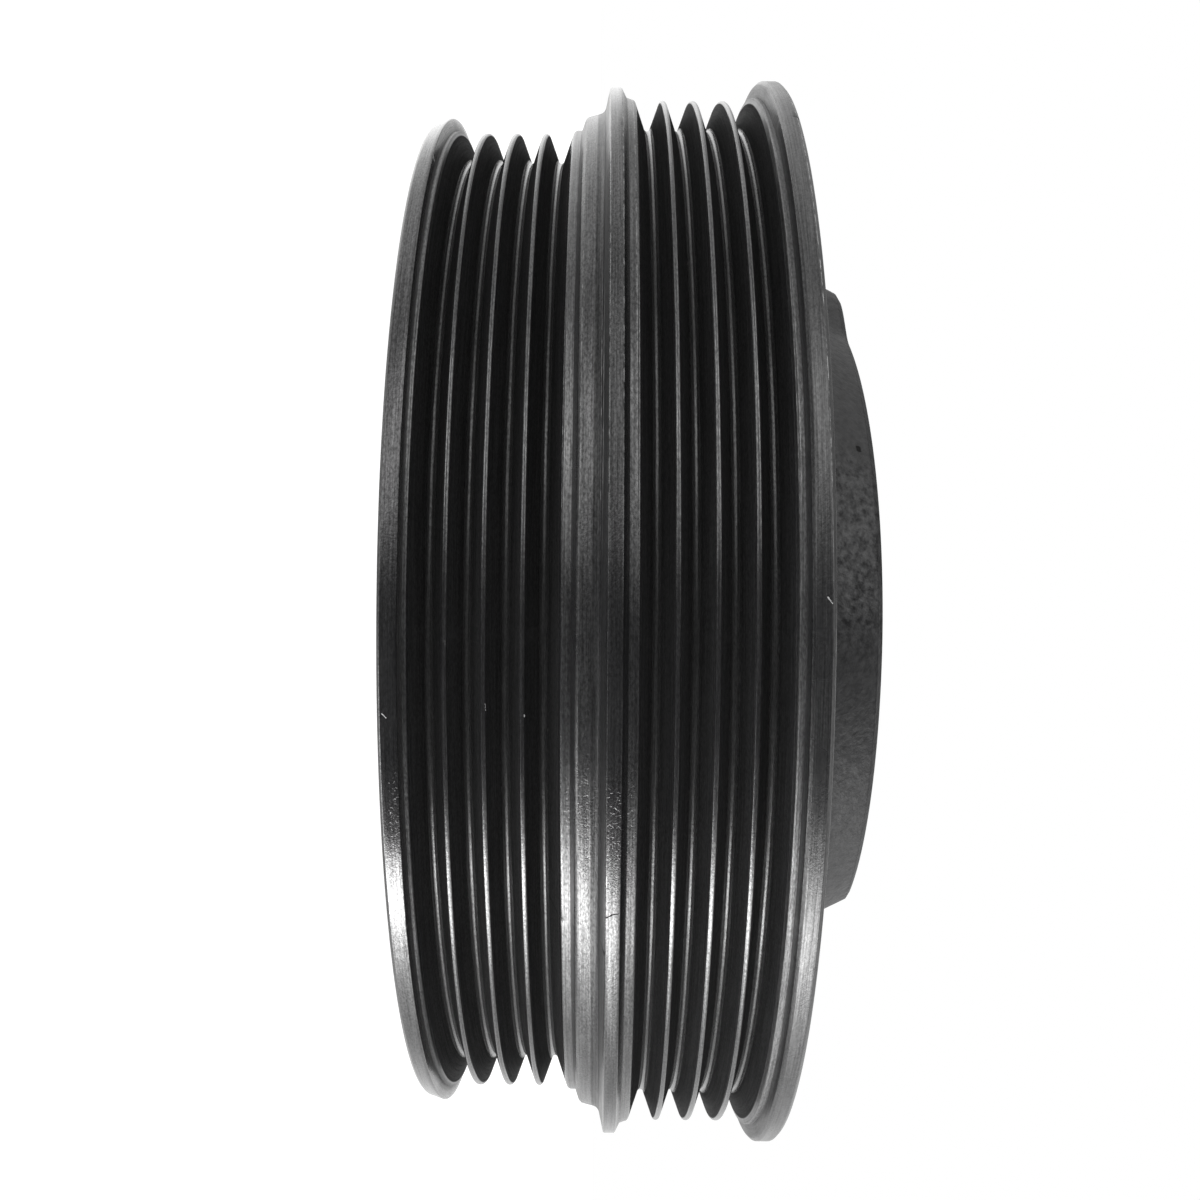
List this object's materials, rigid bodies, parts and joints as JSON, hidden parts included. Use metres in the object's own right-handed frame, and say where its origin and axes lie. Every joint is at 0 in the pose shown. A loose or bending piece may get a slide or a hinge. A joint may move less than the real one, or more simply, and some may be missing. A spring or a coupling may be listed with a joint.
{
  "type": "crankshaft pulley",
  "caption": "Crankshaft pulley with side-by-side multi-rib belt tracks: a turned ring, bonded by rubber to a cast hub with a keyed bore and a drafted rear boss.",
  "frame": {"origin": "centre of the front face, on the axis of rotation; the part stands on that face", "axes": "+Z along the axis of rotation, from the front face to the boss on the engine side; -X through the keyway and the boss lug, +X through the boss flat"},
  "size_m": [0.1347, 0.1346, 0.0501],
  "materials": {
    "coated_ring": "black coat over turned iron, semi-gloss",
    "damper_rubber": "matt black moulded rubber",
    "cast_hub": "dark grey sand-cast skin, matt"
  },
  "bodies": {
    "root": {"pulley_ring": "coated_ring", "rubber_ring": "damper_rubber", "hub": "cast_hub"}
  },
  "joints": []
}
